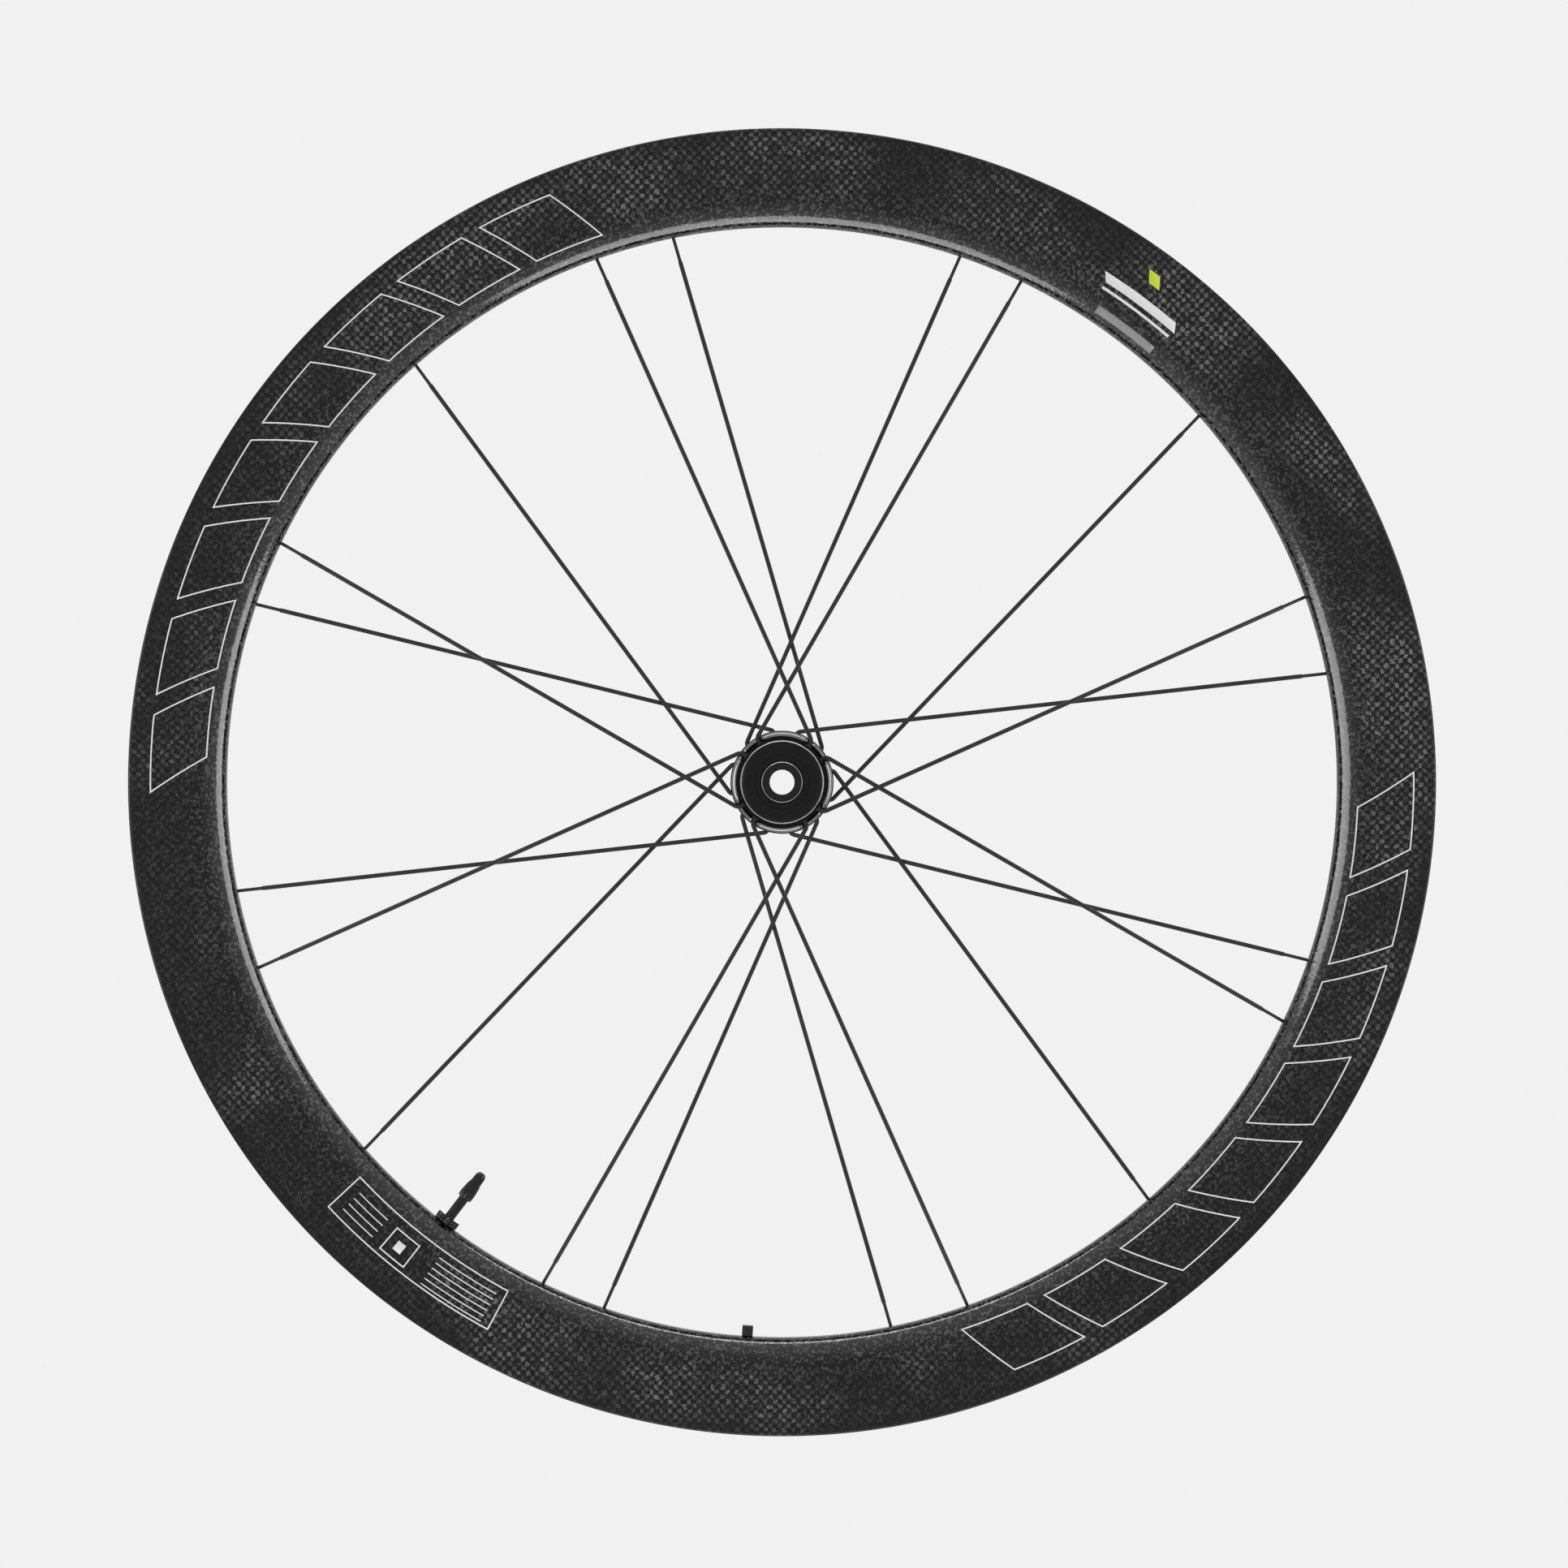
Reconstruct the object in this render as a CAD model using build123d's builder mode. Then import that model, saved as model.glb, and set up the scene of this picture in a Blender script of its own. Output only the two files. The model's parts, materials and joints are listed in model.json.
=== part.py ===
from build123d import *
import os
from math import acos, atan, copysign, cos, degrees, pi, radians, sin, sqrt, tan

os.makedirs("parts", exist_ok=True)

# The axle lies along Y, with the brake side at +Y, and the wheel stands in the XZ plane.
# Angles round the wheel are in degrees from the top, turning towards +X.

# Rim
bead_seat_diameter = 622.0
lip_height = 6.0
rim_depth = 47.2
rim_width = 28.0
nose_width = 8.6
flank_steps = 3
channel_width = 21.0
well_depth = 3.5
well_width = 9.0
bed_wall = 1.8
side_wall = 1.5
nose_wall = 3.0
hollow_floor_width = 7.0
spoke_hole = 2.6
valve_hole_sides = 12

# Hub
hub_length = 100.0
axle_hole_diameter = 12.2
axle_tube_outer = 17.0
axle_tube_inner = 14.0
end_cap_diameter = 19.5
bearing_outer = 26.0
bearing_width = 5.0
running_gap = 0.05
near_shell_inset = 5.5
far_shell_inset = 8.0
near_bearing_inset = 5.8
far_bearing_inset = 13.5
core_tube_outer = 30.0
core_tube_inner = 21.0
end_disc_diameter = 40.4

# Slotted spoke rings
near_ring_inset = 15.5
far_ring_inset = 26.0
near_ring_diameter = 48.4
far_ring_diameter = 50.6
near_spoke_count = 8
far_spoke_count = 12
near_first_angle = 25.5
far_first_angle = 18.7
near_slot_angle = 55.3
far_slot_angle = 62.5
ring_wall = 2.3
groove_width = 1.7
flange_web = 2.2
ring_lip = 1.2
ring_step = 1.0
slot_flare = 1.2

# Brake rotor spline
spline_teeth = 20
spline_diameter = 35.4
spline_depth = 1.0
spline_groove = 2.4
spline_length = 9.0
lock_thread_wall = 2.2

# Spokes
blade_width = 2.1
blade_thickness = 0.9
thread_diameter = 1.6
thread_length = 15.0
elbow_radius = 3.0
elbow_proud = 0.3
cross_offset = 0.7
slot_clearance = 0.1
head_length = 3.8
head_thickness = 1.2
head_clearance = 0.1

# Nipples
nipple_across_flats = 3.4
nipple_length = 11.0
nipple_seat_gap = 0.4

# Valve
valve_angle = 217.4
stem_diameter = 5.2
stem_standing = 24.0
stem_clearance = 0.1
core_sides = 8
core_diameter = 3.2
core_standing = 4.0
core_depth = 8.0
foot_length = 12.0
foot_width = 8.6
foot_height = 2.5
lock_nut_sides = 10
lock_nut_diameter = 12.2
lock_nut_height = 3.6
cap_sides = 12
cap_start = 15.0
cap_length = 15.3
cap_skirt = 7.4
cap_shoulder = 2.0
cap_base_diameter = 7.6
cap_tip_diameter = 5.5
cap_clearance = 0.15

# Rim magnet
magnet_angle = 183.6
magnet_along = 5.3
magnet_height = 4.9
magnet_width = 6.0

# Worked out from the sizes above
seat_radius = bead_seat_diameter / 2
rim_radius = seat_radius + lip_height
nose_radius = rim_radius - rim_depth
well_radius = seat_radius - well_depth
hub_end = hub_length / 2
near_shell_end = hub_end - near_shell_inset
far_shell_end = hub_end - far_shell_inset
near_bearing_end = hub_end - near_bearing_inset
far_bearing_end = hub_end - far_bearing_inset
near = {
    "name": "near",
    "out": -1,
    "y": near_ring_inset - hub_end,
    "radius": near_ring_diameter / 2,
    "count": near_spoke_count,
    "first": near_first_angle,
    "offset": near_slot_angle,
    "bearing_end": near_bearing_end,
}
far = {
    "name": "far",
    "out": 1,
    "y": hub_end - far_ring_inset,
    "radius": far_ring_diameter / 2,
    "count": far_spoke_count,
    "first": far_first_angle,
    "offset": far_slot_angle,
    "bearing_end": far_bearing_end,
}


def around(radius, angle, y=0.0):
    """A point at this radius and angle round the axle, and this far along it."""
    return Vector(radius * sin(radians(angle)), y, radius * cos(radians(angle)))


def mirrored(points):
    """The same outline points on the other side of the wheel's middle plane, going on round."""
    return [(r, -y) for r, y in reversed(points)]


def section(points):
    """A closed outline to turn round the axle, from points of radius and place along the axle."""
    with BuildSketch(Plane.XY) as outline:
        with BuildLine():
            Polyline(*points, close=True)
        make_face()
    return outline.sketch


def ring_section(inner, outer, start, end):
    """The outline of a plain ring between two radii and two places along the axle."""
    return section([(inner, start), (outer, start), (outer, end), (inner, end)])


def save(part, name):
    """Labels one piece and writes it."""
    part.label = name
    export_step(part, f"parts/{name}.step")


def spokes_of(side):
    """Each spoke of one side: its rim angle and the way round that its hub end lies."""
    return [
        (side["first"] + i * 360 / side["count"], -1 if i % 2 == 0 else 1)
        for i in range(side["count"])
    ]


def spoke_frame(side, rim_angle, turn):
    """The spoke's own flat plane, from the wheel's middle: X out along its slot, Y the way it bends."""
    slot = rim_angle + turn * side["offset"]
    y = side["y"] + side["out"] * turn * cross_offset
    corner = around(side["radius"] + elbow_proud, slot, y)
    hole = around(nose_radius, rim_angle)
    radial = around(1, slot)
    normal = radial.cross(hole - corner) * (-turn)
    if normal.Y * side["out"] < 0:
        normal = -normal
    return Plane(origin=(0, y, 0), x_dir=radial, z_dir=normal), corner, hole


def nipple_foot(corner, hole):
    """How far along the spoke, from its corner, the nipple's foot lies inside the rim."""
    return (hole - corner).length + nose_wall + nipple_seat_gap


def groove_floor(side):
    """The place along the axle of the floor of the groove that the spoke heads lie in."""
    return side["y"] - side["out"] * (cross_offset + blade_thickness + head_clearance)


def ring_face(side):
    """The place along the axle of the slotted ring's open face."""
    return side["y"] + side["out"] * (cross_offset + blade_thickness / 2 + ring_lip)


# Rim: one hollow moulding, turned round the axle, with a hole for each spoke and for the valve
nose_turn = acos(nose_width / rim_width)
flank = [
    (
        rim_radius - rim_depth * sin(nose_turn * i / flank_steps) / sin(nose_turn),
        rim_width / 2 * cos(nose_turn * i / flank_steps),
    )
    for i in range(flank_steps + 1)
]
bed = [
    (rim_radius, channel_width / 2),
    (seat_radius, channel_width / 2),
    (well_radius, well_width / 2),
]
shell = [*reversed(flank), *bed]
shoulder_radius = (flank[flank_steps - 2][0] + flank[flank_steps - 1][0]) / 2
shoulder_y = (flank[flank_steps - 2][1] + flank[flank_steps - 1][1]) / 2
hollow = [
    (nose_radius + nose_wall, hollow_floor_width / 2),
    (shoulder_radius, shoulder_y - side_wall),
    (well_radius - bed_wall, rim_width / 2 - side_wall),
]

with BuildPart() as rim:
    revolve(section([*shell, *mirrored(shell)]), axis=Axis.Y)
    revolve(section([*hollow, *mirrored(hollow)]), axis=Axis.Y, mode=Mode.SUBTRACT)
    for side in (near, far):
        for rim_angle, turn in spokes_of(side):
            frame, corner, hole = spoke_frame(side, rim_angle, turn)
            with BuildSketch(Plane(origin=hole, x_dir=frame.z_dir, z_dir=hole - corner)):
                Rectangle(spoke_hole, spoke_hole)
            extrude(amount=2 * nose_wall, both=True, mode=Mode.SUBTRACT)
    with BuildSketch(Plane(origin=(0, 0, 0), z_dir=around(1, valve_angle))):
        RegularPolygon(stem_diameter / 2 + stem_clearance, valve_hole_sides, major_radius=False)
    extrude(amount=rim_radius, mode=Mode.SUBTRACT)
save(rim.part, "rim")


# Hub shell: one turned body with a slotted ring at each end and the rotor's spline
def flange_outline(side):
    """The outline of one flange, from the tube out over the ring and into the groove's floor."""
    back = groove_floor(side) - side["out"] * flange_web
    return [
        (core_tube_outer / 2, back),
        (side["radius"], back),
        (side["radius"], ring_face(side)),
        (side["radius"] - ring_wall, ring_face(side)),
        (side["radius"] - ring_wall, groove_floor(side)),
    ]


lock_thread_radius = spline_diameter / 2 - lock_thread_wall
bore = [
    (lock_thread_radius, far_shell_end),
    (lock_thread_radius, far_bearing_end),
    (bearing_outer / 2, far_bearing_end),
    (bearing_outer / 2, far_bearing_end - bearing_width),
    (core_tube_inner / 2, far_bearing_end - bearing_width),
    (core_tube_inner / 2, bearing_width - near_bearing_end),
    (bearing_outer / 2, bearing_width - near_bearing_end),
    (bearing_outer / 2, -near_shell_end),
]
with BuildPart() as hub_shell:
    revolve(
        section(
            [
                (end_disc_diameter / 2, -near_shell_end),
                (end_disc_diameter / 2, groove_floor(near)),
                *reversed(flange_outline(near)),
                *flange_outline(far),
                (spline_diameter / 2, groove_floor(far)),
                (spline_diameter / 2, far_shell_end),
                *bore,
            ]
        ),
        axis=Axis.Y,
    )
    with BuildSketch(Plane.XZ.offset(-far_shell_end)):
        with PolarLocations(spline_diameter / 2, spline_teeth):
            Rectangle(spline_depth * 2, spline_groove)
    extrude(amount=spline_length, mode=Mode.SUBTRACT)
    for side in (near, far):
        slot_inner = side["radius"] - ring_wall - groove_width / 2
        slot_outer = side["radius"] + elbow_proud
        half_slot = blade_width / 2 + slot_clearance
        step_turn = (360 / side["count"] - 2 * side["offset"]) % (720 / side["count"])
        for rim_angle, turn in spokes_of(side):
            frame, corner, hole = spoke_frame(side, rim_angle, turn)
            bend = 1 if (hole - corner).dot(frame.y_dir) > 0 else -1
            with BuildSketch(frame.offset(-blade_thickness / 2)):
                with BuildLine():
                    Polyline(
                        (slot_inner, -bend * half_slot),
                        (slot_outer, -bend * half_slot),
                        (slot_outer, bend * (half_slot + slot_flare)),
                        (side["radius"], bend * (half_slot + slot_flare)),
                        (side["radius"] - slot_flare, bend * half_slot),
                        (slot_inner, bend * half_slot),
                        close=True,
                    )
                make_face()
            extrude(amount=2 * (cross_offset + blade_thickness + ring_lip), mode=Mode.SUBTRACT)
            if turn < 0:
                step_angle = rim_angle - side["offset"] - step_turn / 2
                step_width = 2 * (side["radius"] - ring_wall / 2) * sin(radians(step_turn / 2))
                step_face = Plane(
                    origin=(0, ring_face(side), 0),
                    x_dir=around(1, step_angle),
                    z_dir=(0, side["out"], 0),
                )
                with BuildSketch(step_face):
                    with Locations(((slot_inner + slot_outer) / 2, 0)):
                        Rectangle(slot_outer - slot_inner, step_width)
                extrude(amount=-ring_step, mode=Mode.SUBTRACT)
save(hub_shell.part, "hub_shell")

# Axle tube: fixed in the fork, between the two end caps
with BuildPart() as axle_tube:
    revolve(
        ring_section(
            axle_tube_inner / 2, axle_tube_outer / 2, -near_bearing_end, far_bearing_end
        ),
        axis=Axis.Y,
    )
save(axle_tube.part, "axle_tube")

# Bearings: two sealed cartridges, one pressed into each end of the shell
with BuildPart() as bearings:
    for side in (near, far):
        revolve(
            ring_section(
                axle_tube_outer / 2 + running_gap,
                bearing_outer / 2,
                side["out"] * (side["bearing_end"] - bearing_width),
                side["out"] * (side["bearing_end"] - running_gap),
            ),
            axis=Axis.Y,
        )
save(bearings.part, "bearings")

# End caps: one at each end, butted on the axle tube
with BuildPart() as end_caps:
    for side in (near, far):
        revolve(
            ring_section(
                axle_hole_diameter / 2,
                end_cap_diameter / 2,
                side["out"] * side["bearing_end"],
                side["out"] * hub_end,
            ),
            axis=Axis.Y,
        )
save(end_caps.part, "end_caps")

# Spokes: a flat blade with a hooked hub end, a hammer head behind the ring and a threaded rim end
for side in (near, far):
    head_x = side["radius"] - ring_wall - head_clearance - head_thickness / 2
    for i, (rim_angle, turn) in enumerate(spokes_of(side)):
        frame, corner, hole = spoke_frame(side, rim_angle, turn)
        run = frame.to_local_coords(hole) - frame.to_local_coords(corner)
        bend = copysign(Vector(1, 0, 0).get_angle(run), run.Y)
        reach = elbow_radius * tan(radians(abs(bend) / 2))
        blade_length = nipple_foot(corner, hole) - thread_length - reach
        with BuildPart() as spoke:
            with BuildSketch(frame.offset(-blade_thickness / 2)):
                with BuildLine():
                    leg = Line((head_x, 0), (side["radius"] + elbow_proud - reach, 0))
                    hook = JernArc(leg @ 1, leg % 1, elbow_radius, bend)
                    blade = Line(hook @ 1, hook @ 1 + (hook % 1) * blade_length)
                trace(line_width=blade_width)
                with BuildLine():
                    Line(blade @ 1, blade @ 1 + (hook % 1) * thread_length)
                trace(line_width=thread_diameter)
                with Locations((head_x, 0)):
                    Rectangle(head_thickness, head_length)
            extrude(amount=blade_thickness)
        save(spoke.part, f"{side['name']}_spoke_{i + 1}")

# Nipples: one for each spoke, seated inside the rim's hollow
with BuildPart() as spoke_nipples:
    for side in (near, far):
        for rim_angle, turn in spokes_of(side):
            frame, corner, hole = spoke_frame(side, rim_angle, turn)
            along = (hole - corner).normalized()
            foot = corner + along * nipple_foot(corner, hole)
            with BuildSketch(Plane(origin=foot, z_dir=along)):
                RegularPolygon(nipple_across_flats / 2, 6, major_radius=False)
            extrude(amount=nipple_length)
save(spoke_nipples.part, "spoke_nipples")


# Valve: heights are measured from the rim's nose towards the axle
def across_valve(height):
    """The plane across the valve's axis at this height, looking towards the axle."""
    outwards = around(1, valve_angle)
    return Plane(origin=outwards * (nose_radius - height), x_dir=(0, 1, 0), z_dir=-outwards)


foot_start = nose_radius - well_radius
with BuildPart() as valve_stem:
    with BuildSketch(across_valve(foot_start)):
        Circle(stem_diameter / 2)
    extrude(amount=stem_standing - foot_start)
    with BuildSketch(across_valve(stem_standing)):
        RegularPolygon(core_diameter / 2 + running_gap, core_sides)
    extrude(amount=-core_depth, mode=Mode.SUBTRACT)
save(valve_stem.part, "valve_stem")

with BuildPart() as valve_core:
    with BuildSketch(across_valve(stem_standing - core_depth)):
        RegularPolygon(core_diameter / 2, core_sides)
    extrude(amount=core_depth + core_standing)
save(valve_core.part, "valve_core")

with BuildPart() as valve_foot:
    with BuildSketch(across_valve(foot_start - foot_height)):
        Rectangle(foot_width, foot_length)
    extrude(amount=foot_height)
save(valve_foot.part, "valve_foot")

nut_foot = nose_radius - sqrt(nose_radius**2 - lock_nut_diameter**2 / 4)
with BuildPart() as valve_lock_nut:
    with BuildSketch(across_valve(nut_foot)):
        RegularPolygon(lock_nut_diameter / 2, lock_nut_sides)
        RegularPolygon(
            stem_diameter / 2 + running_gap, lock_nut_sides, major_radius=False, mode=Mode.SUBTRACT
        )
    extrude(amount=lock_nut_height)
save(valve_lock_nut.part, "valve_lock_nut")

# Valve cap: a wide skirt that narrows to a slender tip, open towards the rim
cap_taper = atan((cap_base_diameter - cap_tip_diameter) / 2 * cos(pi / cap_sides) / cap_shoulder)
with BuildPart() as valve_cap:
    with BuildSketch(across_valve(cap_start)):
        RegularPolygon(cap_base_diameter / 2, cap_sides)
    extrude(amount=cap_skirt)
    with BuildSketch(across_valve(cap_start + cap_skirt)):
        RegularPolygon(cap_base_diameter / 2, cap_sides)
    extrude(amount=cap_shoulder, taper=degrees(cap_taper))
    with BuildSketch(across_valve(cap_start + cap_skirt + cap_shoulder)):
        RegularPolygon(cap_tip_diameter / 2, cap_sides)
    extrude(amount=cap_length - cap_skirt - cap_shoulder)
    with BuildSketch(across_valve(cap_start)):
        RegularPolygon(stem_diameter / 2 + cap_clearance, cap_sides, major_radius=False)
    extrude(amount=stem_standing - cap_start + cap_clearance, mode=Mode.SUBTRACT)
    with BuildSketch(across_valve(stem_standing)):
        RegularPolygon(core_diameter / 2 + cap_clearance, core_sides)
    extrude(amount=core_standing + cap_clearance, mode=Mode.SUBTRACT)
save(valve_cap.part, "valve_cap")

# Rim magnet: a small block on the rim's nose, whose two long edges meet the nose's curve
magnet_foot = nose_radius - sqrt(nose_radius**2 - magnet_along**2 / 4)
magnet_out = around(1, magnet_angle)
with BuildPart() as rim_magnet:
    with BuildSketch(
        Plane(origin=magnet_out * (nose_radius - magnet_foot), x_dir=(0, 1, 0), z_dir=-magnet_out)
    ):
        Rectangle(magnet_width, magnet_along)
    extrude(amount=magnet_height - magnet_foot)
save(rim_magnet.part, "rim_magnet")
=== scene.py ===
import json
from math import asin, cos, pi, radians, sin, sqrt

import bmesh
import bpy
from mathutils import Matrix, Vector


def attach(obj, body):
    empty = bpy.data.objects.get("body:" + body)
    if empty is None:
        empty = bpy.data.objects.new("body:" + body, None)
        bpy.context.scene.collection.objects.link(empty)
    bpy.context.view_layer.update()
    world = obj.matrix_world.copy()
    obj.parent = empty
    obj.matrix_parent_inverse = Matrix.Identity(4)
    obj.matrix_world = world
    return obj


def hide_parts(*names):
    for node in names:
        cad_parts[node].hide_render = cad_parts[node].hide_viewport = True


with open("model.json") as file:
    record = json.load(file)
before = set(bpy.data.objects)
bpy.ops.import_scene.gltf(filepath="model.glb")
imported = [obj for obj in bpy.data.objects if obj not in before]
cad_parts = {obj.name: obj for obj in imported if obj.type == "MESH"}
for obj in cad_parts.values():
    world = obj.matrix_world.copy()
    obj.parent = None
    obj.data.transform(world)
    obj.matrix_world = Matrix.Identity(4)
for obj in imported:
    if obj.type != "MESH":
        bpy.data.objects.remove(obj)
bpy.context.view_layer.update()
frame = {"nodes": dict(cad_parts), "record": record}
nodes = frame["nodes"]
scene = bpy.context.scene
MM = 0.001

# Sizes in millimetres, as in the CAD, with the axle along Y and the seen side at -Y
rim_radius = 317.0
rim_depth = 47.2
rim_width = 28.0
nose_radius = rim_radius - rim_depth
channel_width = 21.0
seat_radius = 311.0
well_radius = 307.5
well_width = 9.0
lip_round = 1.2
flank_fullness = 0.92
width_fullness = 0.96
tow_width = 2.3
valve_angle = 217.4
hub_end_y = 44.5
end_disc_radius = 20.2
cap_radius = 9.75
axle_hole_radius = 6.1
hub_length = 100.0
hub_ends = (-hub_length / 2, hub_length / 2)

# The two slotted rings: outer radius, bore radius, and the places along the axle of the face,
# of the short segments' face and of the back
slotted_rings = (
    (24.2, 21.9, -36.85, -35.85, -30.6),
    (25.3, 23.0, 26.35, 25.35, 20.1),
)

# In degrees: edges sharper than the first can be rounded, surfaces shade smooth over angles below the
# second, and faces that meet at less than the third become one
sharp_above = 32
smooth_below = 30
flat_below = 0.3
merge_distance = 0.001

# The two sides of the wheel, as the sign of Y: the photograph sees the near one
near_side = -1
far_side = 1


# Small helpers
def grey(level):
    """An sRGB grey level from 0 to 255 as a linear colour."""
    v = level / 255
    linear = v / 12.92 if v <= 0.04045 else ((v + 0.055) / 1.055) ** 2.4
    return (linear, linear, linear, 1)


def around(radius, angle, y=0.0):
    """A point at this radius and clock angle round the axle, in metres."""
    return Vector((radius * sin(radians(angle)), y, radius * cos(radians(angle)))) * MM


def add_mesh(name, points, faces, material, smooth_angle=smooth_below):
    """A new mesh object with smooth faces and sharp edges past an angle."""
    mesh = bpy.data.meshes.new(name)
    mesh.from_pydata([tuple(p) for p in points], [], faces)
    mesh.update()
    bm = bmesh.new()
    bm.from_mesh(mesh)
    bmesh.ops.recalc_face_normals(bm, faces=bm.faces)
    bm.to_mesh(mesh)
    bm.free()
    mesh.polygons.foreach_set("use_smooth", [True] * len(mesh.polygons))
    mesh.set_sharp_from_angle(angle=radians(smooth_angle))
    mesh.materials.append(material)
    obj = bpy.data.objects.new(name, mesh)
    scene.collection.objects.link(obj)
    return obj


def turned(points, faces, profile, place, steps=96, ribs=0):
    """Adds a closed profile turned round a placing matrix.

    Each point of the profile has a radius, a height and, where it is ribbed, a rib depth, in millimetres.
    """
    start, n = len(points), len(profile)
    for i in range(steps):
        a = 2 * pi * i / steps
        for r, h, *depth in profile:
            r -= (depth[0] if depth else 0) * (0.5 - 0.5 * cos(ribs * a))
            points.append(place @ Vector((r * cos(a), r * sin(a), h)))
    for i in range(steps):
        j = (i + 1) % steps
        for k in range(n):
            m = (k + 1) % n
            faces.append((start + i * n + k, start + j * n + k, start + j * n + m, start + i * n + m))


def lathe(name, profile, place, material, steps=96, ribs=0, smooth_angle=smooth_below):
    """One turned piece."""
    points, faces = [], []
    turned(points, faces, profile, place, steps, ribs)
    return add_mesh(name, points, faces, material, smooth_angle)


def dressed(node, name, materials, cuts, body, smooth_angle=smooth_below):
    """The node's own shape with chosen edges rounded or cut bright, in place of the node.

    Each cut has the choice of its edges, its width in millimetres, its segments and its material slot.
    """
    bm = bmesh.new()
    bm.from_mesh(nodes[node].data)
    bmesh.ops.remove_doubles(bm, verts=bm.verts, dist=merge_distance * MM)
    bmesh.ops.dissolve_limit(bm, angle_limit=radians(flat_below), verts=bm.verts, edges=bm.edges)
    for chosen, offset, segments, slot in cuts:
        edges = [
            e for e in bm.edges
            if len(e.link_faces) == 2 and e.calc_face_angle() > radians(sharp_above) and chosen(e)
        ]
        bmesh.ops.bevel(
            bm, geom=edges, offset=offset * MM, offset_type="OFFSET", segments=segments,
            profile=0.5, affect="EDGES", material=slot, clamp_overlap=False,
        )
    mesh = bpy.data.meshes.new(name)
    bm.to_mesh(mesh)
    bm.free()
    mesh.polygons.foreach_set("use_smooth", [True] * len(mesh.polygons))
    mesh.set_sharp_from_angle(angle=radians(smooth_angle))
    for mat in materials:
        mesh.materials.append(mat)
    obj = bpy.data.objects.new(name, mesh)
    scene.collection.objects.link(obj)
    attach(obj, body)
    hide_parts(node)
    return obj


def circle_at(radius, y, radius_slack=0.06, y_slack=0.03):
    """Picks the edges that lie on a circle round the axle at this radius and place along it."""
    def chosen(edge):
        return all(
            abs(sqrt(v.co.x**2 + v.co.z**2) - radius * MM) < radius_slack * MM
            and abs(v.co.y - y * MM) < y_slack * MM
            for v in edge.verts
        )
    return chosen


def every_edge(edge):
    """Picks every sharp edge."""
    return True


# The axle's placing, with Z along +Y, and the valve's, with Z from the rim's nose towards the axle
on_axle = Matrix(((1, 0, 0, 0), (0, 0, 1, 0), (0, -1, 0, 0), (0, 0, 0, 1))) @ Matrix.Scale(MM, 4)
inwards = -around(1, valve_angle).normalized()
across = Vector((0, 1, 0))
on_valve = Matrix.Translation(around(nose_radius, valve_angle)) @ Matrix(
    (across, inwards.cross(across), inwards)
).transposed().to_4x4() @ Matrix.Scale(MM, 4)


# Materials
grain_depth = 0.02


def material(
    name, color, roughness, metallic=0.0, specular=0.5,
    grain=0.0, grain_scale=900.0, tint=0.25, rough_spread=0.15,
):
    """A shaded material whose colour, roughness and surface vary a little with fine noise."""
    mat = bpy.data.materials.new(name)
    mat.use_nodes = True
    tree = mat.node_tree
    shader = tree.nodes["Principled BSDF"]
    shader.inputs["Metallic"].default_value = metallic
    shader.inputs["Specular IOR Level"].default_value = specular
    place = tree.nodes.new("ShaderNodeTexCoord")
    noise = tree.nodes.new("ShaderNodeTexNoise")
    noise.inputs["Scale"].default_value = grain_scale
    noise.inputs["Detail"].default_value = 4
    tree.links.new(place.outputs["Object"], noise.inputs["Vector"])
    ramp = tree.nodes.new("ShaderNodeMix")
    ramp.data_type = "RGBA"
    ramp.inputs["A"].default_value = tuple(c * (1 - tint) for c in color[:3]) + (1,)
    ramp.inputs["B"].default_value = tuple(min(c * (1 + tint), 1) for c in color[:3]) + (1,)
    tree.links.new(noise.outputs["Fac"], ramp.inputs["Factor"])
    tree.links.new(ramp.outputs["Result"], shader.inputs["Base Color"])
    rough = tree.nodes.new("ShaderNodeMapRange")
    rough.inputs["To Min"].default_value = roughness * (1 - rough_spread)
    rough.inputs["To Max"].default_value = min(roughness * (1 + rough_spread), 1)
    tree.links.new(noise.outputs["Fac"], rough.inputs["Value"])
    tree.links.new(rough.outputs["Result"], shader.inputs["Roughness"])
    if grain:
        bump = tree.nodes.new("ShaderNodeBump")
        bump.inputs["Strength"].default_value = grain
        bump.inputs["Distance"].default_value = grain_depth * MM
        tree.links.new(noise.outputs["Fac"], bump.inputs["Height"])
        tree.links.new(bump.outputs["Normal"], shader.inputs["Normal"])
    return mat


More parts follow.
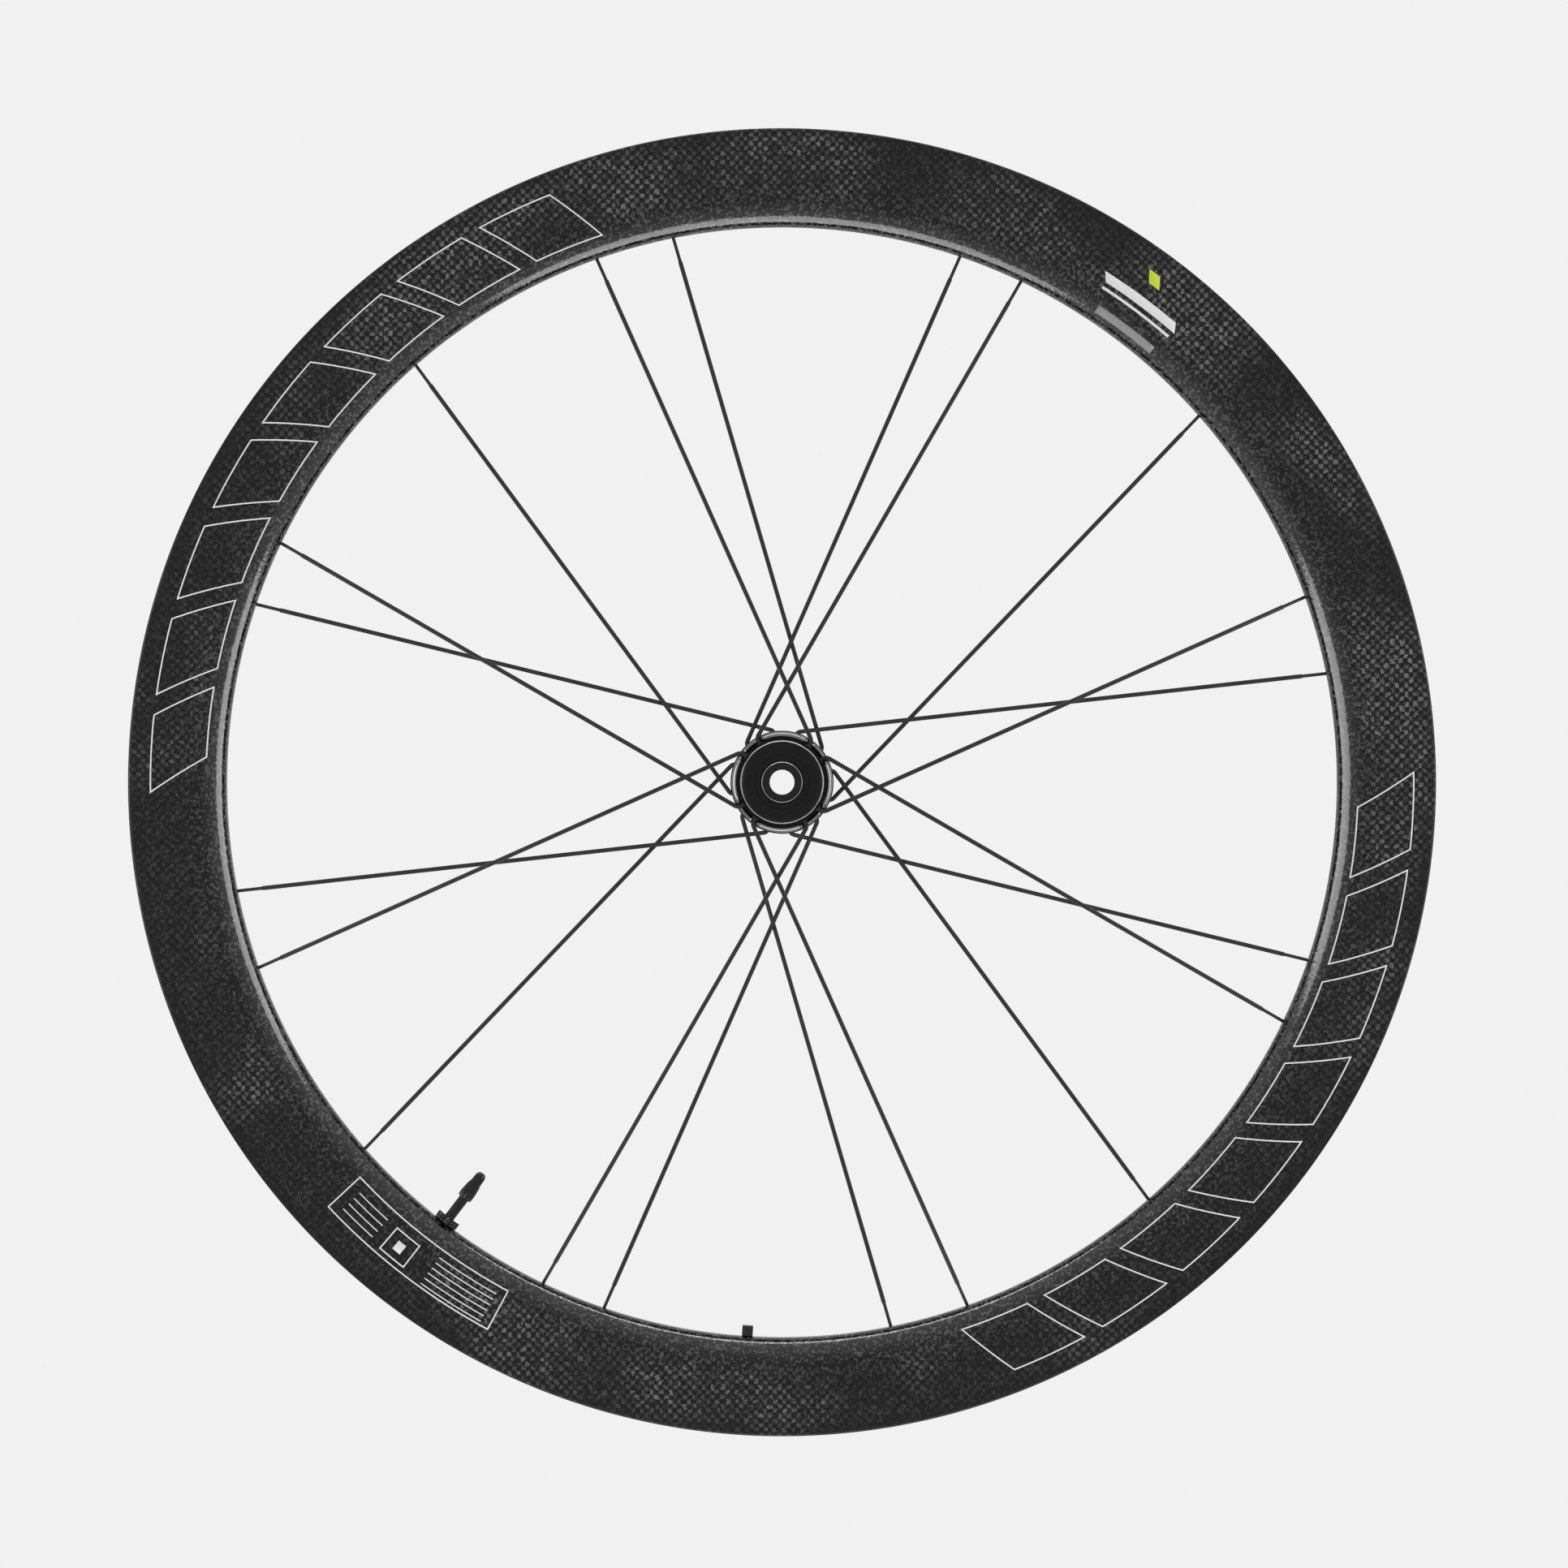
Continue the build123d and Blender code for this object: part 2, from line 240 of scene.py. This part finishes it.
def carbon_weave():
    """Plain-woven fibre under a clear coat, and chopped-looking fibre near the nose.

    The weave follows the rim's own map. Radii are in metres here, as the shader's object coordinates are.
    A ramp has the two values that it runs between and what it gives at each of them.
    """
    mat = bpy.data.materials.new("carbon_weave")
    mat.use_nodes = True
    tree = mat.node_tree
    shader = tree.nodes["Principled BSDF"]

    def node(kind, **values):
        made = tree.nodes.new(kind)
        for key, value in values.items():
            made.inputs[key].default_value = value
        return made

    def math(operation, *sources):
        made = tree.nodes.new("ShaderNodeMath")
        made.operation = operation
        for socket, source in zip(made.inputs, sources):
            if isinstance(source, (int, float)):
                socket.default_value = source
            else:
                tree.links.new(source, socket)
        return made.outputs["Value"]

    def ramp(source, low, high, start, end):
        limits = {"From Min": low, "From Max": high, "To Min": start, "To Max": end}
        made = node("ShaderNodeMapRange", **limits)
        tree.links.new(source, made.inputs["Value"])
        return made.outputs["Result"]

    def noise(scale, detail):
        made = node("ShaderNodeTexNoise", Scale=scale, Detail=detail)
        tree.links.new(place.outputs["Object"], made.inputs["Vector"])
        return made.outputs["Fac"]

    place = tree.nodes.new("ShaderNodeTexCoord")
    uv = tree.nodes.new("ShaderNodeUVMap")
    uv.uv_map = "weave"
    split = tree.nodes.new("ShaderNodeSeparateXYZ")
    tree.links.new(uv.outputs["UV"], split.inputs["Vector"])

    # The map, a little distorted, in cells that are crowned along and across the tow
    wander = 0.3
    u = math("ADD", split.outputs["X"], ramp(noise(260.0, 2.0), 0.3, 0.7, -wander, wander))
    v = math("ADD", split.outputs["Y"], ramp(noise(310.0, 2.0), 0.3, 0.7, -wander, wander))
    crown_u = math("SINE", math("MULTIPLY", math("FRACT", u), pi))
    crown_v = math("SINE", math("MULTIPLY", math("FRACT", v), pi))
    over = math("ABSOLUTE", math("MODULO", math("ADD", math("FLOOR", u), math("FLOOR", v)), 2))
    crown = math("MULTIPLY", math("POWER", crown_u, 0.5), math("POWER", crown_v, 0.3))
    cell = tree.nodes.new("ShaderNodeCombineXYZ")
    tree.links.new(math("FLOOR", u), cell.inputs["X"])
    tree.links.new(math("FLOOR", v), cell.inputs["Y"])
    chance = tree.nodes.new("ShaderNodeTexWhiteNoise")
    chance.noise_dimensions = "2D"
    tree.links.new(cell.outputs["Vector"], chance.inputs["Vector"])

    # The radius round the axle
    parts = tree.nodes.new("ShaderNodeSeparateXYZ")
    tree.links.new(place.outputs["Object"], parts.inputs["Vector"])
    squares = math(
        "ADD",
        math("MULTIPLY", parts.outputs["X"], parts.outputs["X"]),
        math("MULTIPLY", parts.outputs["Z"], parts.outputs["Z"]),
    )
    radius = math("SQRT", squares)

    # Where the cloth lies, patches of painted sheen where its cells show lighter, the chopped flecks and
    # the fine fibre in each cell
    woven = ramp(radius, 0.2785, 0.2885, 0.0, 1.0)
    # Painted sheen: low-frequency noise makes the cells lighter in some patches, as light off the fibres
    # would
    painted_sheen_patches = ramp(noise(11.0, 2.0), 0.46, 0.64, 0.12, 1.0)
    fleck = ramp(noise(620.0, 3.0), 0.51, 0.63, 0.0, 1.0)
    flecks = math("MULTIPLY", fleck, ramp(radius, 0.27, 0.292, 0.62, 0.12))
    fine = ramp(noise(1500.0, 2.0), 0.35, 0.65, 0.1, 1.5)
    # The weave's checker is its own pattern, but the lightness of its over cells, brighter at their crowns
    # and by each cell's chance, is painted sheen off the tows
    cells = math("MULTIPLY", math("MULTIPLY", over, crown), painted_sheen_patches)
    cells = math("MULTIPLY", cells, math("ADD", 0.35, math("MULTIPLY", chance.outputs["Value"], 1.2)))
    cells = math("MULTIPLY", cells, fine)
    shade = math("ADD", math("MULTIPLY", cells, woven), flecks)
    edge_dark = ramp(radius, 0.309, 0.3165, 1.0, 0.35)
    shade = math("MULTIPLY", shade, edge_dark)
    color = tree.nodes.new("ShaderNodeMix")
    color.data_type = "RGBA"
    color.inputs["A"].default_value = (0.002, 0.0021, 0.0023, 1)
    color.inputs["B"].default_value = (0.14, 0.142, 0.145, 1)
    tree.links.new(shade, color.inputs["Factor"])
    tree.links.new(color.outputs["Result"], shader.inputs["Base Color"])

    # The crowns of the cells under the coat, and the coat's own grain on the nose
    bump = node("ShaderNodeBump", Strength=0.15, Distance=0.0001)
    tree.links.new(math("MULTIPLY", crown, woven), bump.inputs["Height"])
    tree.links.new(bump.outputs["Normal"], shader.inputs["Normal"])
    grain = node("ShaderNodeBump", Strength=0.5, Distance=0.00012)
    grained = math("MULTIPLY", noise(700.0, 2.0), ramp(radius, 0.272, 0.284, 1.0, 0.0))
    tree.links.new(grained, grain.inputs["Height"])
    tree.links.new(grain.outputs["Normal"], shader.inputs["Coat Normal"])
    shader.inputs["Roughness"].default_value = 0.5
    shader.inputs["Specular IOR Level"].default_value = 0.06
    tree.links.new(ramp(radius, 0.2725, 0.282, 1.0, 0.22), shader.inputs["Coat Weight"])
    shader.inputs["Coat IOR"].default_value = 1.6
    shader.inputs["Coat Roughness"].default_value = 0.07
    return mat


carbon = carbon_weave()
hub_black = material("hub_black", grey(10), 0.26, tint=0.1, specular=0.17)
cap_black = material("cap_black", grey(14), 0.3, tint=0.1, specular=0.2)
bright_cut = material("bright_cut_edge", grey(160), 0.25, metallic=1.0, tint=0.05)
dark_cut = material("dark_polished_edge", grey(110), 0.2, metallic=1.0, tint=0.06)
machined = material("machined_alloy", grey(175), 0.35, metallic=1.0, grain=0.2)
ground_steel = material("ground_steel", grey(160), 0.3, metallic=1.0, grain=0.1)
spoke_black = material("spoke_black", grey(26), 0.4, grain=0.15, grain_scale=1500, specular=0.35)
nipple_alloy = material("nipple_alloy", grey(150), 0.4, metallic=1.0)
valve_black = material("valve_black", grey(8), 0.13, tint=0.15, specular=0.3)
valve_brass = material("valve_brass", (0.55, 0.38, 0.16, 1), 0.35, metallic=1.0)
valve_rubber = material("valve_rubber", grey(24), 0.8, grain=0.5, specular=0.3)
cap_plastic = material("valve_cap_plastic", grey(8), 0.13, specular=0.3)
magnet_plastic = material("magnet_plastic", grey(20), 0.5, grain=0.3, specular=0.25)
print_white = material("print_white", grey(215), 0.45, tint=0.04, specular=0.2)
print_lime = material("print_lime", (0.5, 0.6, 0.05, 1), 0.45, tint=0.06, specular=0.2)
print_silver = material("print_silver", grey(140), 0.5, tint=0.25, grain_scale=1400, specular=0.2)
seal_rubber = material("bearing_seal", grey(24), 0.6, grain=0.2, specular=0.3)

by_slot = {
    "carbon": carbon,
    "hub_black": hub_black,
    "alloy": machined,
    "cap_black": cap_black,
    "bearing_steel": ground_steel,
    "spoke_black": spoke_black,
    "nipple_alloy": nipple_alloy,
    "valve_black": valve_black,
    "valve_brass": valve_brass,
    "valve_rubber": valve_rubber,
    "valve_cap_plastic": cap_plastic,
    "magnet_plastic": magnet_plastic,
}
for part in frame["record"]["subparts"]:
    mesh = nodes[part["node"]].data
    mesh.materials.clear()
    mesh.materials.append(by_slot[part["material_slot"]])


# Rim: the CAD section made smooth, with rounded lips, and a map for the weave
def flank_point(t):
    """Radius and half width on the flank, from 0 at the lip to 1 at the nose."""
    turn = pi / 2 * t
    return rim_radius - rim_depth * sin(turn) ** flank_fullness, rim_width / 2 * cos(turn) ** width_fullness


rim_steps = 480
rim_smooth_below = 35
flank_steps = 26
side = [flank_point(i / flank_steps) for i in range(1, flank_steps)]
inner_lip = channel_width / 2
outer_lip = rim_width / 2
lip = [
    (rim_radius - lip_round * (1 - cos(a)), outer_lip - lip_round + lip_round * sin(a))
    for a in (radians(80), radians(55), radians(30), 0)
]
inner = [
    (rim_radius, inner_lip + lip_round * 0.5),
    (rim_radius - lip_round * 0.5, inner_lip),
    (seat_radius, inner_lip),
    (well_radius, well_width / 2),
]
half = [*reversed(side), *lip, *inner]
profile = [(nose_radius, 0.0), *half, *[(r, -y) for r, y in reversed(half)]]


def make_rim():
    """The rim's skin with one face strip for each step of its section, and its map for the weave.

    The flanks are mapped flat, and the nose and the channel round the wheel, in cells of one tow.
    """
    flat_above = 0.55
    map_offset = 300
    steps, n = rim_steps, len(profile)
    points = [
        around(r, 360 * i / steps, y)
        for i in range(steps)
        for r, y in profile
    ]
    faces = [
        (i * n + k, i * n + (k + 1) % n, (i + 1) % steps * n + (k + 1) % n, (i + 1) % steps * n + k)
        for i in range(steps)
        for k in range(n)
    ]
    rim = add_mesh("rim_skin", points, faces, carbon, rim_smooth_below)
    mesh = rim.data
    uv = mesh.uv_layers.new(name="weave")
    for face in mesh.polygons:
        flat = abs(face.normal.y) > flat_above
        for corner in face.loop_indices:
            p = mesh.vertices[mesh.loops[corner].vertex_index].co / (MM * tow_width)
            if flat:
                uv.data[corner].uv = (p.x + map_offset, p.z + map_offset)
            else:
                index = mesh.loops[corner].vertex_index // n
                ahead = face.vertices[0] // n == steps - 1 and index == 0
                turn = 2 * pi * (steps if ahead else index) / steps
                uv.data[corner].uv = (turn * nose_radius / tow_width, p.y + map_offset)
    return rim


rim_skin = make_rim()
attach(rim_skin, "wheel")
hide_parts("rim")


# Hub: the CAD shapes with rounded and bright-cut edges, and a dust seal over the near bearing.
# A cut's last number is its material slot: 0 black, 1 the cut metal
disc_round = 2.4
ring_round = 2.0
short_round = 1.2
back_round = 0.4
edge_cut = 0.25
hub_cuts = [(circle_at(end_disc_radius, -hub_end_y), disc_round, 7, 0)]
for outer, bore, face_y, _, _ in slotted_rings:
    hub_cuts += [(circle_at(outer, face_y), ring_round, 4, 1), (circle_at(bore, face_y), edge_cut, 1, 1)]
for outer, _, _, short_y, _ in slotted_rings:
    hub_cuts.append((circle_at(outer, short_y), short_round, 3, 1))
for outer, *_, back_y in slotted_rings:
    hub_cuts.append((circle_at(outer, back_y), back_round, 2, 0))
hub = dressed("hub_shell", "hub_shell_finish", (hub_black, dark_cut), hub_cuts, "wheel")

cap_cuts = [(circle_at(cap_radius, y), edge_cut, 1, 1) for y in hub_ends]
cap_cuts += [(circle_at(axle_hole_radius, y), edge_cut, 1, 0) for y in hub_ends]
caps = dressed("end_caps", "end_caps_finish", (cap_black, bright_cut), cap_cuts, "axle")

seal_bore = 9.9
seal_edge = 13.0
seal_back = -44.22
seal_front = -44.5
seal_slope = 0.04
seal = lathe(
    "near_dust_seal",
    [
        (seal_bore, seal_back), (seal_bore, seal_front + seal_slope), (seal_bore + 0.2, seal_front),
        (seal_edge - 0.1, seal_front), (seal_edge, seal_front + seal_slope), (seal_edge, seal_back),
    ],
    on_axle, hub_black, steps=128,
)
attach(seal, "wheel")

# The near end's turned disc, slightly domed, and the bright line cut round it
dome_bore = 13.1
dome_flat = 13.4
dome_edge = 19.5
dome_front = -44.95
dome_drop = 0.95
dome_back = -43.3
dome_steps = 12
dome = [(dome_bore, -44.4), (dome_bore, -44.86), (dome_flat, dome_front)]
for k in range(1, dome_steps + 1):
    share = k / dome_steps
    dome.append((dome_flat + (dome_edge - dome_flat) * share, dome_front + dome_drop * share**3))
dome.append((dome_edge, dome_back))
disc = lathe("near_end_disc", dome, on_axle, hub_black, steps=160)
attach(disc, "wheel")
line = lathe(
    "near_disc_bright_line",
    [(19.45, -43.4), (19.45, -43.98), (19.55, -44.0), (19.85, -43.7), (19.95, dome_back)],
    on_axle, bright_cut, steps=160,
)
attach(line, "wheel")


# Bearings: ground races with a rubber seal between them, at each end
bearing_places = ((-44.15, -39.2), (31.5, 36.45))
race_radii = ((8.55, 10.0), (11.9, 13.0))
race_edge = 0.2
seal_inner = 10.02
seal_crown = 10.6
seal_outer = 11.88
seal_inset = 0.25
crown_inset = 0.15
race_points, race_faces, seal_points, seal_faces = [], [], [], []
for low, high in bearing_places:
    for inner, outer in race_radii:
        turned(
            race_points, race_faces,
            [
                (inner, low + race_edge), (inner + race_edge, low), (outer - race_edge, low),
                (outer, low + race_edge), (outer, high - race_edge), (outer - race_edge, high),
                (inner + race_edge, high), (inner, high - race_edge),
            ],
            on_axle,
        )
    turned(
        seal_points, seal_faces,
        [
            (seal_inner, low + seal_inset), (seal_crown, low + crown_inset), (seal_outer, low + seal_inset),
            (seal_outer, high - seal_inset), (seal_crown, high - crown_inset),
            (seal_inner, high - seal_inset),
        ],
        on_axle,
    )
races = add_mesh("bearing_races", race_points, race_faces, ground_steel)
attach(races, "wheel")
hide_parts("bearings")
seals = add_mesh("bearing_seals", seal_points, seal_faces, seal_rubber)
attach(seals, "wheel")


# Spokes: the CAD blades with rounded edges
blade_round = 0.26
for place, count in (("near", 8), ("far", 12)):
    for number in range(1, count + 1):
        blade = dressed(
            f"{place}_spoke_{number}", f"{place}_blade_{number}", (spoke_black,),
            [(every_edge, blade_round, 2, 0)], "wheel",
        )


# Valve: threaded stem, ribbed lock nut and cap, with heights from the rim's nose towards the axle
near_axis = 0.05
stem_radius = 2.6
thread_root = 2.42
thread_pitch = 0.8
stem_foot = -37.6
thread_end = 23.6
stem_top = 24.0
top_radius = 2.35
core_radius = 1.66
core_foot = 16.0
stem_profile = [(near_axis, stem_foot), (stem_radius, stem_foot)]
for k in range(int(thread_end / thread_pitch)):
    stem_profile += [(stem_radius, thread_pitch * (k + 0.1)), (thread_root, thread_pitch * (k + 0.55))]
stem_profile += [
    (stem_radius, thread_end), (top_radius, stem_top), (core_radius, stem_top),
    (core_radius, core_foot), (near_axis, core_foot),
]
stem = lathe("valve_stem_thread", stem_profile, on_valve, valve_black, steps=40, smooth_angle=50)
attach(stem, "wheel")
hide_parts("valve_stem")

# The profiles of the nut and the cap: radius, height and, where there are ribs, their depth
nut = lathe(
    "valve_lock_nut_ribbed",
    [
        (2.66, 0.1), (5.6, 0.1), (6.05, 0.45, 0.45), (6.05, 1.7, 0.45), (5.75, 1.85, 0.2),
        (6.05, 2.0, 0.45), (6.05, 3.2, 0.45), (5.6, 3.6), (3.9, 3.62), (3.6, 3.66), (2.66, 3.66),
    ],
    on_valve, valve_black, steps=120, ribs=20,
)
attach(nut, "wheel")
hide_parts("valve_lock_nut")

cap = lathe(
    "valve_cap_ribbed",
    [
        (2.72, 15.0), (3.45, 15.05), (3.62, 15.7, 0.3), (3.75, 17.0, 0.35), (3.68, 19.0, 0.35),
        (3.5, 21.0, 0.35), (3.25, 22.9, 0.3), (2.98, 23.9), (2.8, 24.9), (2.75, 27.0), (2.62, 28.2),
        (2.3, 29.2), (1.6, 29.95), (0.8, 30.25), (0.03, 30.3), (0.03, 28.2), (1.78, 28.2), (1.78, 24.2),
        (2.72, 24.2),
    ],
    on_valve, cap_plastic, steps=112, ribs=14,
)
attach(cap, "cap")
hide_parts("valve_cap")

magnet_round = 0.45
magnet = dressed(
    "rim_magnet", "rim_magnet_block", (magnet_plastic,), [(every_edge, magnet_round, 3, 0)], "wheel",
)


# Prints: plain outlined and filled shapes in place of the printed words, labels and mark
def flank_y(radius):
    """The half width of the rim at this radius, from the flank's formula."""
    turn = asin(min(1, ((rim_radius - radius) / rim_depth) ** (1 / flank_fullness)))
    return rim_width / 2 * cos(turn) ** width_fullness


print_width = 0.65
print_lift = 0.05
print_depth = 0.03
step_angle = 0.4
step_radius = 2
field_step_angle = 0.5
field_step_radius = 1.5
sharpest_miter = 0.45


def on_flank(x, z, facing):
    """The point on the flank over this place in the wheel's plane, in millimetres, just proud of it."""
    return Vector((x, facing * (flank_y(sqrt(x * x + z * z)) + print_lift), z)) * MM


def stepped(corners):
    """The outline through corners of clock angle and radius, in short steps, in the wheel's plane."""
    path = []
    for (a0, r0), (a1, r1) in zip(corners, corners[1:] + corners[:1]):
        steps = max(2, int(abs(a1 - a0) / step_angle) + int(abs(r1 - r0) / step_radius))
        path += [(a0 + (a1 - a0) * k / steps, r0 + (r1 - r0) * k / steps) for k in range(steps)]
    return [Vector((r * sin(radians(a)), r * cos(radians(a)))) for a, r in path]


def outlined(corners, facing, points, faces):
    """Adds a thin closed ribbon along an outline."""
    flat = stepped(corners)
    n, start = len(flat), len(points)
    for k in range(n):
        before = (flat[k] - flat[k - 1]).normalized()
        after = (flat[(k + 1) % n] - flat[k]).normalized()
        bisect = (before + after).normalized()
        aside = Vector((-bisect.y, bisect.x)) * print_width / 2 / max(sharpest_miter, bisect.dot(after))
        points += [on_flank(*(flat[k] - aside), facing), on_flank(*(flat[k] + aside), facing)]
    for k in range(n):
        m = (k + 1) % n
        faces.append((start + 2 * k, start + 2 * m, start + 2 * m + 1, start + 2 * k + 1))


def filled(low_angle, high_angle, low, high, facing, points, faces, lean=0.0):
    """Adds a filled field between two clock angles and two radii, leaning by an angle over its height."""
    across_steps = max(2, int(abs(high_angle - low_angle) / field_step_angle))
    up_steps = max(1, int((high - low) / field_step_radius))
    start = len(points)
    for i in range(across_steps + 1):
        for j in range(up_steps + 1):
            up = j / up_steps
            a = low_angle + (high_angle - low_angle) * i / across_steps + lean * up
            r = low + (high - low) * up
            points.append(on_flank(r * sin(radians(a)), r * cos(radians(a)), facing))
    for i in range(across_steps):
        for j in range(up_steps):
            k = start + i * (up_steps + 1) + j
            faces.append((k, k + 1, k + up_steps + 2, k + up_steps + 1))


# Equal leaning bars, twice round each side, with widths as clock angles
bar_low = 279.5
bar_high = 306.0
bar_lean = -3.4
bar_gap = 1.9
bar_width = 7.0
bar_count = 8
bar_starts = (272.5, 92.5)
white_points, white_faces = [], []
lime_points, lime_faces = [], []
silver_points, silver_faces = [], []
for facing in (near_side, far_side):
    for first in bar_starts:
        for k in range(bar_count):
            at = first + k * (bar_width + bar_gap)
            end = at + bar_width
            corners = [
                (at, bar_low), (end, bar_low), (end + bar_lean, bar_high), (at + bar_lean, bar_high),
            ]
            if facing == far_side:
                corners = [(-a, r) for a, r in corners]
            outlined(corners, facing, white_points, white_faces)

# Filled fields, the panel's square and its stripes on the near side: first and last clock angle,
# low and high radius, and lean. A block of stripes has its lowest radius, their spacing and their number
stripe = 0.5
fields = [
    (32.9, 41.2, 288.8, 293.2, -0.6),
    (32.9, 40.9, 285.3, 286.6, 0),
    (219.0, 219.9, 289.5, 294.5, 0),
]
stripe_blocks = ((209.2, 215.8, 284.0, 3.0, 6), (222.0, 225.8, 285.5, 3.6, 4))
for first_angle, last_angle, lowest, spacing, count in stripe_blocks:
    for k in range(count):
        low = lowest + spacing * k
        fields.append((first_angle, last_angle, low, low + stripe, 0))
for first_angle, last_angle, low, high, lean in fields:
    filled(first_angle, last_angle, low, high, near_side, white_points, white_faces, lean)

# The panel's frame and the frame round its square: clock angles and radii of opposite corners
frames = ((208.3, 226.9, 280.4, 301.0), (218.0, 220.8, 285.5, 298.2))
for first_angle, last_angle, low, high in frames:
    corners = [(first_angle, low), (last_angle, low), (last_angle, high), (first_angle, high)]
    outlined(corners, near_side, white_points, white_faces)
filled(36.3, 37.5, 300.2, 305.8, near_side, lime_points, lime_faces, lean=-0.7)
filled(33.6, 40.6, 274.2, 278.0, near_side, silver_points, silver_faces)
for name, points, faces, mat in (
    ("rim_prints_white", white_points, white_faces, print_white),
    ("rim_mark_lime", lime_points, lime_faces, print_lime),
    ("rim_strip_silver", silver_points, silver_faces, print_silver),
):
    sheet = add_mesh(name, points, faces, mat)
    bm = bmesh.new()
    bm.from_mesh(sheet.data)
    bmesh.ops.solidify(bm, geom=bm.faces[:], thickness=print_depth * MM)
    bmesh.ops.recalc_face_normals(bm, faces=bm.faces)
    bm.to_mesh(sheet.data)
    bm.free()
    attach(sheet, "wheel")


# Lights, backdrop and camera
background_grey = 241
floor_grey = 225
floor_glow_grey = 250
floor_glow_share = 0.9
world_strength = 0.18
lamp_distance = 1.5


def background_rays(tree):
    """One for the rays that show the background as it is: camera, glossy and transmission rays."""
    path = tree.nodes.new("ShaderNodeLightPath")
    value = path.outputs["Is Camera Ray"]
    for kind in ("Is Glossy Ray", "Is Transmission Ray"):
        larger = tree.nodes.new("ShaderNodeMath")
        larger.operation = "MAXIMUM"
        tree.links.new(value, larger.inputs[0])
        tree.links.new(path.outputs[kind], larger.inputs[1])
        value = larger.outputs["Value"]
    return value


world = bpy.data.worlds.new("studio")
scene.world = world
world.use_nodes = True
tree = world.node_tree
tree.nodes.clear()
out = tree.nodes.new("ShaderNodeOutputWorld")
seen = tree.nodes.new("ShaderNodeBackground")
seen.inputs["Color"].default_value = grey(background_grey)
light = tree.nodes.new("ShaderNodeBackground")
light.inputs["Color"].default_value = (1, 1, 1, 1)
light.inputs["Strength"].default_value = world_strength
mix = tree.nodes.new("ShaderNodeMixShader")
tree.links.new(background_rays(tree), mix.inputs["Fac"])
tree.links.new(light.outputs["Background"], mix.inputs[1])
tree.links.new(seen.outputs["Background"], mix.inputs[2])
tree.links.new(mix.outputs["Shader"], out.inputs["Surface"])


def softbox(name, direction, width, height, radiance, distance=lamp_distance):
    """A plain area light that faces the wheel's centre, with its width across the direction."""
    lamp = bpy.data.lights.new(name, "AREA")
    lamp.shape = "RECTANGLE"
    lamp.size = width
    lamp.size_y = height
    lamp.energy = radiance * pi * width * height
    obj = bpy.data.objects.new(name, lamp)
    toward = Vector(direction).normalized()
    obj.location = toward * distance
    across = Vector((0, 1, 0)).cross(toward).normalized()
    up = toward.cross(across)
    obj.rotation_euler = Matrix((across, up, toward)).transposed().to_euler()
    obj.visible_camera = False
    scene.collection.objects.link(obj)


def in_front(azimuth=0.0, elevation=0.0):
    """A direction in front of the wheel, turned to the right or else raised by so many degrees."""
    level = cos(radians(elevation))
    return Vector((
        level * sin(radians(azimuth)), -level * cos(radians(azimuth)), sin(radians(elevation))
    ))


softbox("low_light", in_front(elevation=-65), width=1.5, height=0.78, radiance=4.1)
softbox("top_light", in_front(elevation=77), width=2.0, height=0.28, radiance=8.0)
softbox("right_light", in_front(azimuth=65) + Vector((0, 0, 0.06)), width=1.3, height=0.76, radiance=4.7)
softbox("back_light", (0.2, 0.95, 0.25), width=5.6, height=4.4, radiance=0.88, distance=3.5)
softbox("left_light", in_front(azimuth=-62), width=1.0, height=0.95, radiance=4.6)

floor_depth = 1.6
floor_size = 14
bpy.ops.mesh.primitive_plane_add(size=floor_size, location=(0, 0, -floor_depth))
floor = bpy.context.object
floor.name = "floor"
floor_mat = bpy.data.materials.new("floor_pale")
floor_mat.use_nodes = True
tree = floor_mat.node_tree
shader = tree.nodes["Principled BSDF"]
shader.inputs["Base Color"].default_value = grey(floor_grey)
shader.inputs["Roughness"].default_value = 0.9
glow = tree.nodes.new("ShaderNodeEmission")
glow.inputs["Color"].default_value = grey(floor_glow_grey)
share = tree.nodes.new("ShaderNodeMath")
share.operation = "MULTIPLY"
share.inputs[1].default_value = floor_glow_share
tree.links.new(background_rays(tree), share.inputs[0])
mix = tree.nodes.new("ShaderNodeMixShader")
tree.links.new(share.outputs["Value"], mix.inputs["Fac"])
tree.links.new(shader.outputs["BSDF"], mix.inputs[1])
tree.links.new(glow.outputs["Emission"], mix.inputs[2])
tree.links.new(mix.outputs["Shader"], tree.nodes["Material Output"].inputs["Surface"])
floor.data.materials.append(floor_mat)

# The camera: straight in front, at the photograph's scale and with its centre
camera_distance = 3.0
sensor_width = 36
photo_pixels = 1932
photo_scale = 0.395 * MM
wheel_centre_px = (963.6, 963.8)
camera = bpy.data.cameras.new("camera")
camera.sensor_width = sensor_width
camera.lens = sensor_width * camera_distance / (photo_pixels * photo_scale)
camera.shift_x = (photo_pixels / 2 - wheel_centre_px[0]) / photo_pixels
camera.shift_y = (wheel_centre_px[1] - photo_pixels / 2) / photo_pixels
camera_obj = bpy.data.objects.new("camera", camera)
camera_obj.location = (0, -camera_distance, 0)
camera_obj.rotation_euler = (radians(90), 0, 0)
scene.collection.objects.link(camera_obj)
scene.camera = camera_obj
scene.view_settings.view_transform = "Standard"
